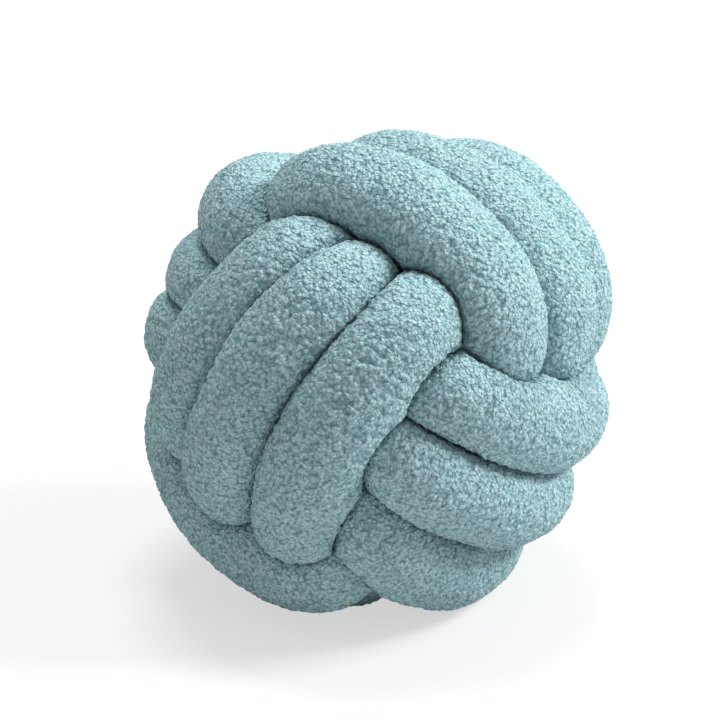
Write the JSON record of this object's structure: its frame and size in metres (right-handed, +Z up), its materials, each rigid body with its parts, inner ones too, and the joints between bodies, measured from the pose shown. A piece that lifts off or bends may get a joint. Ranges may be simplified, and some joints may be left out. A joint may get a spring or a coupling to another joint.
{
  "type": "knot cushion",
  "caption": "Ball-shaped cushion made of a stuffed boucle tube, wound and knotted in an over-and-under pattern, with a small flat spot to rest on.",
  "frame": {"origin": "on the floor, under the middle of the ball's box", "axes": "+Z up from the floor that the cushion rests on, +X to the viewer's right in the picture, +Y away from the viewer"},
  "size_m": [0.27, 0.2718, 0.2669],
  "materials": {
    "boucle_cloth": "curly boucle pile, matt, pale dusty teal"
  },
  "bodies": {
    "root": {"knotted_tube": "boucle_cloth"}
  },
  "joints": []
}
